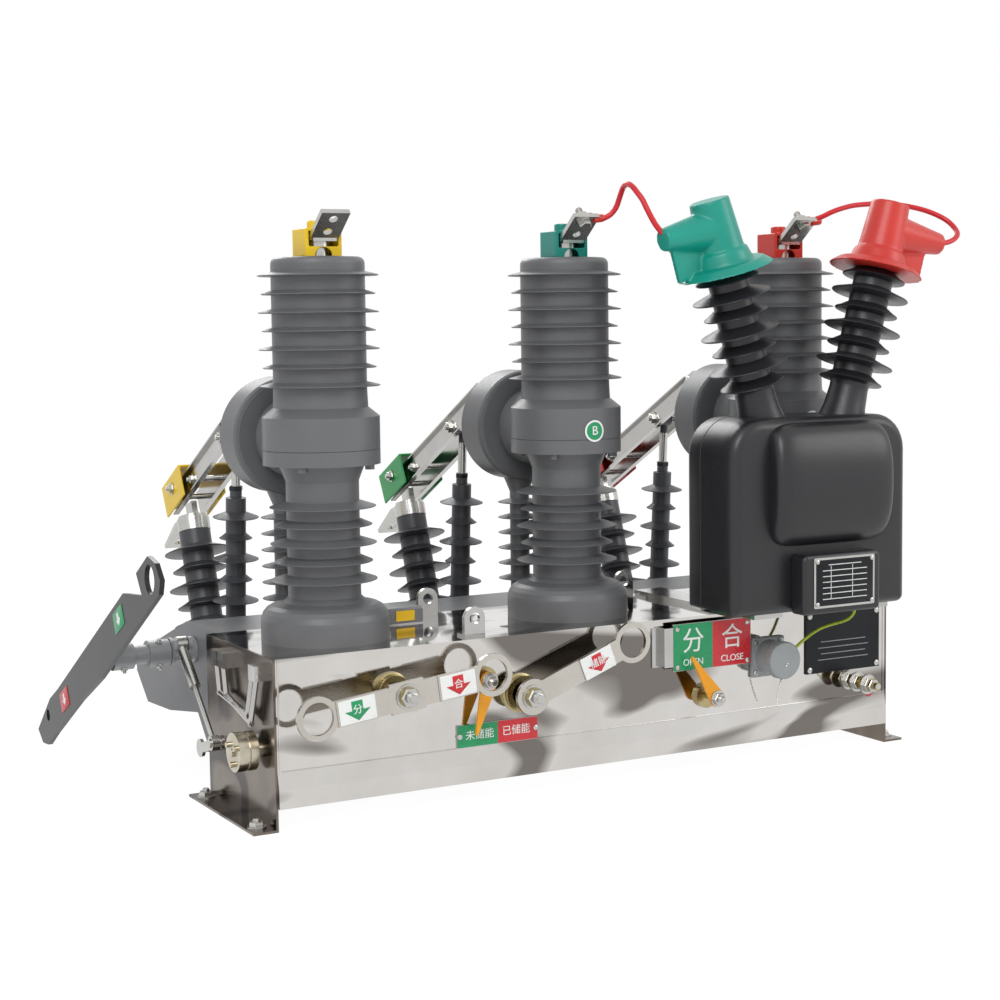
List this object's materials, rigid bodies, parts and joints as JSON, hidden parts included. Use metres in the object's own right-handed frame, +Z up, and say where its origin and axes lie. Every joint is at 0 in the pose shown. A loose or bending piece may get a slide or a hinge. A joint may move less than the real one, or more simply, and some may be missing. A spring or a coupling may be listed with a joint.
{
  "type": "outdoor vacuum circuit breaker",
  "caption": "outdoor vacuum circuit breaker with insulated poles on a stainless mechanism housing, a rear isolator and a voltage transformer",
  "frame": {"origin": "centre of the four foot bolt holes, on the plane that the feet stand on", "axes": "+X along the row of poles to the right seen from the front, +Y to the isolator at the rear, +Z up"},
  "size_m": [1.1064, 0.7574, 0.7478],
  "materials": {
    "stainless": "mirror-polished stainless sheet",
    "end_plate_steel": "polished stainless plate",
    "grey_insulation": "satin grey cast epoxy with silicone sheds",
    "black_insulation": "satin black cast epoxy",
    "plated_bar": "bright plated copper and steel",
    "blade_steel": "polished stainless strip",
    "yellow_plastic": "yellow moulded plastic",
    "green_plastic": "green moulded plastic",
    "teal_plastic": "blue-green moulded plastic",
    "red_plastic": "red moulded plastic",
    "painted_grey": "grey painted sheet",
    "shaft_paint": "aluminium-coloured painted steel",
    "handle_steel": "dark satin painted plate",
    "lever_steel": "brushed stainless lever",
    "pointer_yellow": "orange-yellow painted pointer",
    "plated_fittings": "yellow-passivated zinc plate",
    "sign_plastic": "printed plastic plate",
    "socket_cap": "grey moulded plug cap",
    "panel_black": "black brushed panel",
    "lead_red": "red silicone lead",
    "earth_sheath": "yellow and green sheath"
  },
  "bodies": {
    "breaker": {"housing": "stainless", "end_plate_left": "end_plate_steel", "end_plate_right": "end_plate_steel", "pole_a": "grey_insulation", "pole_b": "grey_insulation", "pole_c": "grey_insulation", "current_transformer_a": "grey_insulation", "current_transformer_b": "grey_insulation", "current_transformer_c": "grey_insulation", "top_terminal_a": "plated_bar", "top_terminal_b": "plated_bar", "top_terminal_c": "plated_bar", "terminal_cover_a": "yellow_plastic", "terminal_cover_b": "teal_plastic", "terminal_cover_c": "red_plastic", "outlet_terminal_a": "plated_bar", "outlet_terminal_b": "plated_bar", "outlet_terminal_c": "plated_bar", "post_insulator_a": "grey_insulation", "post_insulator_b": "grey_insulation", "post_insulator_c": "grey_insulation", "fixed_contact_a": "plated_bar", "fixed_contact_b": "plated_bar", "fixed_contact_c": "plated_bar", "isolator_frame": "painted_grey", "interlock_drum": "plated_fittings", "lock_bracket": "blade_steel", "front_fittings": "plated_fittings", "indicator_plates": "sign_plastic", "control_socket": "socket_cap", "control_panel": "panel_black", "voltage_transformer": "black_insulation", "transformer_rails": "blade_steel", "hv_plug_left": "teal_plastic", "hv_plug_right": "red_plastic", "top_fittings": "blade_steel", "hv_lead_b": "lead_red", "hv_lead_c": "lead_red", "earth_wire": "earth_sheath"},
    "drive_shaft": {"isolator_shaft": "shaft_paint", "isolator_handle": "handle_steel"},
    "interlock_link": {"interlock_link": "plated_bar"},
    "interlock_arm": {"interlock_arm": "plated_bar"},
    "trip_lever": {"trip_lever": "lever_steel"},
    "charging_lever": {"charging_lever": "lever_steel"},
    "state_pointer": {"state_pointer": "pointer_yellow"},
    "charge_pointer": {"charge_pointer": "pointer_yellow"},
    "blade_a": {"blade_a": "blade_steel", "blade_cover_a": "yellow_plastic"},
    "pull_a": {"pull_insulator_a": "grey_insulation"},
    "blade_b": {"blade_b": "blade_steel", "blade_cover_b": "green_plastic"},
    "pull_b": {"pull_insulator_b": "grey_insulation"},
    "blade_c": {"blade_c": "blade_steel", "blade_cover_c": "red_plastic"},
    "pull_c": {"pull_insulator_c": "grey_insulation"}
  },
  "joints": [
    {"name": "isolator_drive", "type": "hinge", "parent": "breaker", "child": "drive_shaft", "pos_m": [0, 0.2, 0.166], "axis": [1, 0, 0], "range_deg": [0, 50]},
    {"name": "blade_swing_a", "type": "hinge", "parent": "breaker", "child": "blade_a", "pos_m": [-0.332, 0.177, 0.487], "axis": [1, 0, 0], "range_deg": [0, 50]},
    {"name": "pull_swing_a", "type": "hinge", "parent": "drive_shaft", "child": "pull_a", "pos_m": [-0.332, 0.308, 0.109], "axis": [1, 0, 0], "range_deg": [-50, 0]},
    {"name": "blade_swing_b", "type": "hinge", "parent": "breaker", "child": "blade_b", "pos_m": [0.008, 0.177, 0.487], "axis": [1, 0, 0], "range_deg": [0, 50]},
    {"name": "pull_swing_b", "type": "hinge", "parent": "drive_shaft", "child": "pull_b", "pos_m": [0.008, 0.308, 0.109], "axis": [1, 0, 0], "range_deg": [-50, 0]},
    {"name": "blade_swing_c", "type": "hinge", "parent": "breaker", "child": "blade_c", "pos_m": [0.348, 0.177, 0.487], "axis": [1, 0, 0], "range_deg": [0, 50]},
    {"name": "pull_swing_c", "type": "hinge", "parent": "drive_shaft", "child": "pull_c", "pos_m": [0.348, 0.308, 0.109], "axis": [1, 0, 0], "range_deg": [-50, 0]},
    {"name": "interlock_link_swing", "type": "hinge", "parent": "drive_shaft", "child": "interlock_link", "pos_m": [-0.471, 0.128, 0.187], "axis": [1, 0, 0], "range_deg": [-50, 0]},
    {"name": "interlock_arm_swing", "type": "hinge", "parent": "breaker", "child": "interlock_arm", "pos_m": [-0.462, 0.09, 0.063], "axis": [1, 0, 0], "range_deg": [0, 50]},
    {"name": "trip_swing", "type": "hinge", "parent": "breaker", "child": "trip_lever", "pos_m": [-0.298, -0.152, 0.15], "axis": [0, 1, 0], "range_deg": [-20, 20]},
    {"name": "charging_swing", "type": "hinge", "parent": "breaker", "child": "charging_lever", "pos_m": [-0.125, -0.14, 0.129], "axis": [0, 1, 0], "range_deg": [0, 50]},
    {"name": "state_swing", "type": "hinge", "parent": "breaker", "child": "state_pointer", "pos_m": [0.147, -0.135, 0.097], "axis": [0, 1, 0], "range_deg": [0, 60]},
    {"name": "charge_swing", "type": "hinge", "parent": "breaker", "child": "charge_pointer", "pos_m": [-0.176, -0.125, 0.151], "axis": [0, 1, 0], "range_deg": [-35, 0]}
  ],
  "couplings": [
    {"joint": "blade_swing_a", "follows": "isolator_drive", "ratio": 1},
    {"joint": "pull_swing_a", "follows": "isolator_drive", "ratio": -1},
    {"joint": "blade_swing_b", "follows": "isolator_drive", "ratio": 1},
    {"joint": "pull_swing_b", "follows": "isolator_drive", "ratio": -1},
    {"joint": "blade_swing_c", "follows": "isolator_drive", "ratio": 1},
    {"joint": "pull_swing_c", "follows": "isolator_drive", "ratio": -1},
    {"joint": "interlock_link_swing", "follows": "isolator_drive", "ratio": -1},
    {"joint": "interlock_arm_swing", "follows": "isolator_drive", "ratio": 1}
  ]
}
